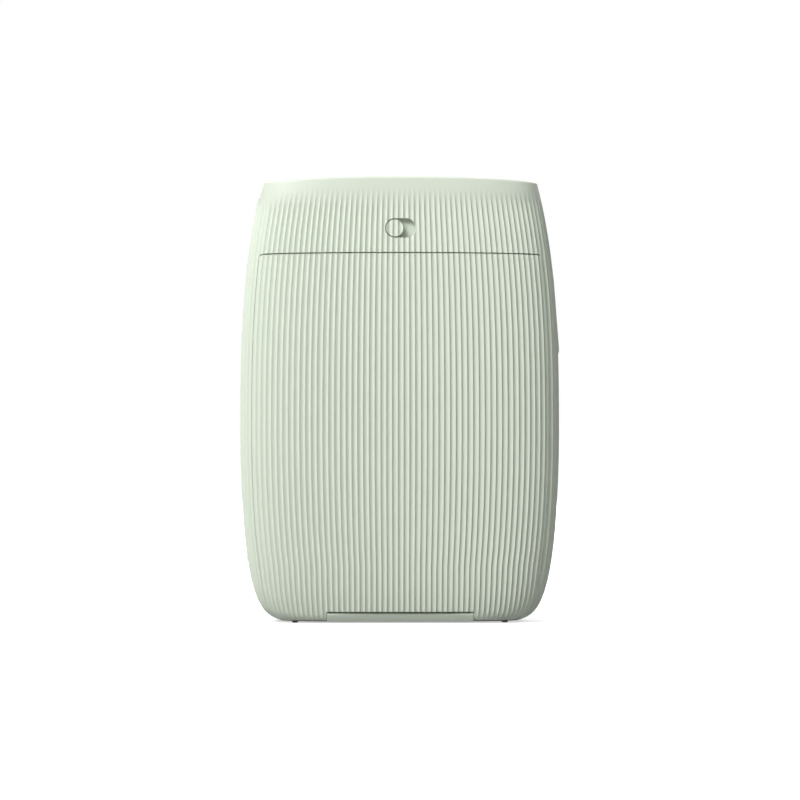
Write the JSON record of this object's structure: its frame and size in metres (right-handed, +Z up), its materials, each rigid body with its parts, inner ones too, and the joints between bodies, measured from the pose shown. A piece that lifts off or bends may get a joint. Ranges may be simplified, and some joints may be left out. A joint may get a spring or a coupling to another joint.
{
  "type": "compact photo printer",
  "caption": "Pocket instant-film printer: fluted, softly squared plastic shell with a bottom-hinged film door, sliding latch and roller drive.",
  "frame": {"origin": "on the ground under the middle of the body", "axes": "+Z up, film door faces -Y, power button faces +Y, function button on the +X side"},
  "size_m": [0.0902, 0.0373, 0.125],
  "materials": {
    "shell_green": "pale sage green, fine satin grain",
    "dark_plastic": "black, fine grain",
    "steel": "bright, drawn",
    "nylon": "natural white",
    "brass": "machined",
    "board": "green solder mask",
    "chip": "black moulding compound",
    "cell": "silver pouch",
    "light_ring": "milky white",
    "foot_rubber": "matt black",
    "head_housing": "dark grey"
  },
  "bodies": {
    "case": {"rear_housing": "shell_green", "front_housing": "shell_green", "hinge_block": "shell_green", "hinge_pin": "steel", "feet": "foot_rubber", "latch_guide": "dark_plastic", "film_chamber": "dark_plastic", "drive_frame": "steel", "roller_bushes": "nylon", "gear_axles": "steel", "motor": "steel", "exit_guide": "dark_plastic", "exposure_head": "head_housing", "main_board": "board", "board_chips": "chip", "battery": "cell", "power_ring": "light_ring", "power_switch": "steel", "function_switch": "board", "usb_socket": "steel", "usb_bezel": "dark_plastic", "usb_board": "board", "case_screws": "steel"},
    "door": {"film_door": "shell_green", "door_liner": "dark_plastic", "pad_springs": "steel"},
    "latch": {"latch_knob": "shell_green", "latch_slider": "dark_plastic"},
    "pad_left": {"pressure_pad_left": "dark_plastic"},
    "pad_right": {"pressure_pad_right": "dark_plastic"},
    "drive": {"drive_roller": "steel", "drive_roller_gear": "nylon"},
    "pinch": {"pinch_roller": "steel", "pinch_roller_gear": "nylon"},
    "gear_one": {"reduction_gear_one": "nylon"},
    "gear_two": {"reduction_gear_two": "nylon"},
    "motor_spindle": {"motor_shaft": "steel", "motor_pinion": "brass"},
    "power": {"power_button": "shell_green"},
    "function": {"function_button": "shell_green"}
  },
  "joints": [
    {"name": "door_hinge", "type": "hinge", "parent": "case", "child": "door", "pos_m": [0, -0.0126, 0.00175], "axis": [1, 0, 0], "range_deg": [0, 90]},
    {"name": "latch_slide", "type": "slide", "parent": "case", "child": "latch", "axis": [1, 0, 0], "range_m": [0, 0.0032]},
    {"name": "pad_left_press", "type": "slide", "parent": "door", "child": "pad_left", "axis": [0, -1, 0], "range_m": [0, 0.0012], "stiffness_N_per_m": 400},
    {"name": "pad_right_press", "type": "slide", "parent": "door", "child": "pad_right", "axis": [0, -1, 0], "range_m": [0, 0.0012], "stiffness_N_per_m": 400},
    {"name": "drive_roller_spin", "type": "hinge", "parent": "case", "child": "drive", "pos_m": [0, 0.00365, 0.1065], "axis": [1, 0, 0], "continuous": true},
    {"name": "pinch_roller_spin", "type": "hinge", "parent": "case", "child": "pinch", "pos_m": [0, -0.00365, 0.1065], "axis": [1, 0, 0], "continuous": true},
    {"name": "gear_two_spin", "type": "hinge", "parent": "case", "child": "gear_two", "pos_m": [0, 0.00126, 0.10137], "axis": [1, 0, 0], "continuous": true},
    {"name": "gear_one_spin", "type": "hinge", "parent": "case", "child": "gear_one", "pos_m": [0, 0.0007, 0.09333], "axis": [1, 0, 0], "continuous": true},
    {"name": "motor_spin", "type": "hinge", "parent": "case", "child": "motor_spindle", "pos_m": [0, 0.0076, 0.09748], "axis": [1, 0, 0], "continuous": true},
    {"name": "power_press", "type": "slide", "parent": "case", "child": "power", "axis": [0, -1, 0], "range_m": [0, 0.0005], "stiffness_N_per_m": 1500},
    {"name": "function_press", "type": "slide", "parent": "case", "child": "function", "axis": [-0.9971, 0, -0.0767], "range_m": [0, 0.0004], "stiffness_N_per_m": 1500}
  ],
  "couplings": [
    {"joint": "pinch_roller_spin", "follows": "drive_roller_spin", "ratio": -1},
    {"joint": "gear_two_spin", "follows": "drive_roller_spin", "ratio": -1.8},
    {"joint": "gear_one_spin", "follows": "drive_roller_spin", "ratio": 5.4},
    {"joint": "motor_spin", "follows": "drive_roller_spin", "ratio": -16.2}
  ]
}
